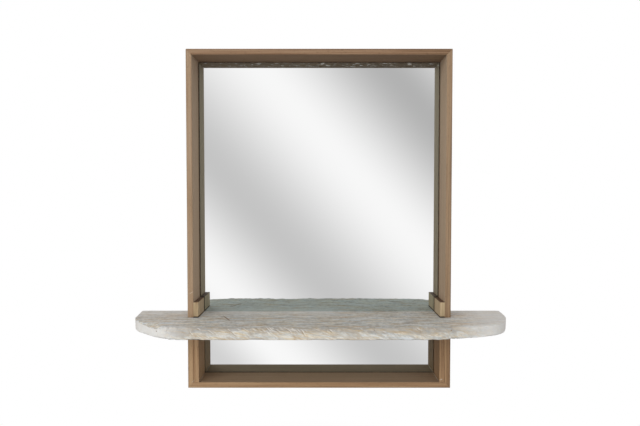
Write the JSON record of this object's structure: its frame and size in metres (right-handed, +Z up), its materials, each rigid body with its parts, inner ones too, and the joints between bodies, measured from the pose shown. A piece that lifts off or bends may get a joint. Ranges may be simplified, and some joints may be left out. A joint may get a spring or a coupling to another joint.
{
  "type": "wall mirror with shelf",
  "caption": "Wall mirror in a deep mitred wooden box frame, with a hewn whitewashed shelf that slides in through the frame.",
  "frame": {"origin": "middle of the back panel's rear face, at the frame's mid width and mid height", "axes": "+X to the right seen from the front, +Y towards the wall, +Z up"},
  "size_m": [1.0035, 0.2447, 0.898],
  "materials": {
    "stained_frame_wood": "brown stained board, planed, fine lengthwise grain, matte",
    "tan_cleat_wood": "tan board, sawn end grain, matte",
    "limed_shelf_wood": "whitewashed rustic board, brushed grain, hewn front edge",
    "silvered_glass": "4 mm float glass, silvered on the back, ground edge",
    "dark_fibreboard": "dark brown fibreboard, matte",
    "joining_beech": "pressed beech",
    "zinc_steel": "zinc plated",
    "bumper_rubber": "matte rubber"
  },
  "bodies": {
    "frame": {"backing_panel": "dark_fibreboard", "bottom_left_front_biscuit": "joining_beech", "bottom_left_rear_biscuit": "joining_beech", "bottom_panel_screw_1": "zinc_steel", "bottom_panel_screw_2": "zinc_steel", "bottom_rail": "stained_frame_wood", "bottom_right_front_biscuit": "joining_beech", "bottom_right_rear_biscuit": "joining_beech", "left_bumper": "bumper_rubber", "left_cleat": "tan_cleat_wood", "left_hanger_strap": "zinc_steel", "left_lower_strap_screw": "zinc_steel", "left_panel_screw_1": "zinc_steel", "left_panel_screw_2": "zinc_steel", "left_panel_screw_3": "zinc_steel", "left_stile": "stained_frame_wood", "left_support_block": "stained_frame_wood", "left_upper_strap_screw": "zinc_steel", "mirror_pane": "silvered_glass", "right_bumper": "bumper_rubber", "right_cleat": "tan_cleat_wood", "right_hanger_strap": "zinc_steel", "right_lower_strap_screw": "zinc_steel", "right_panel_screw_1": "zinc_steel", "right_panel_screw_2": "zinc_steel", "right_panel_screw_3": "zinc_steel", "right_stile": "stained_frame_wood", "right_support_block": "stained_frame_wood", "right_upper_strap_screw": "zinc_steel", "top_left_front_biscuit": "joining_beech", "top_left_rear_biscuit": "joining_beech", "top_panel_screw_1": "zinc_steel", "top_panel_screw_2": "zinc_steel", "top_rail": "stained_frame_wood", "top_right_front_biscuit": "joining_beech", "top_right_rear_biscuit": "joining_beech"},
    "shelf": {"shelf": "limed_shelf_wood"},
    "left_ring": {"left_hanger_ring": "zinc_steel"},
    "right_ring": {"right_hanger_ring": "zinc_steel"}
  },
  "joints": [
    {"name": "shelf_slide", "type": "slide", "parent": "frame", "child": "shelf", "axis": [0, -1, 0], "range_m": [0, 0.09]},
    {"name": "left_ring_hinge", "type": "hinge", "parent": "frame", "child": "left_ring", "pos_m": [-0.3425, 0.003, 0.319], "axis": [1, 0, 0], "range_deg": [0, 178]},
    {"name": "right_ring_hinge", "type": "hinge", "parent": "frame", "child": "right_ring", "pos_m": [0.3425, 0.003, 0.319], "axis": [1, 0, 0], "range_deg": [0, 178]}
  ]
}
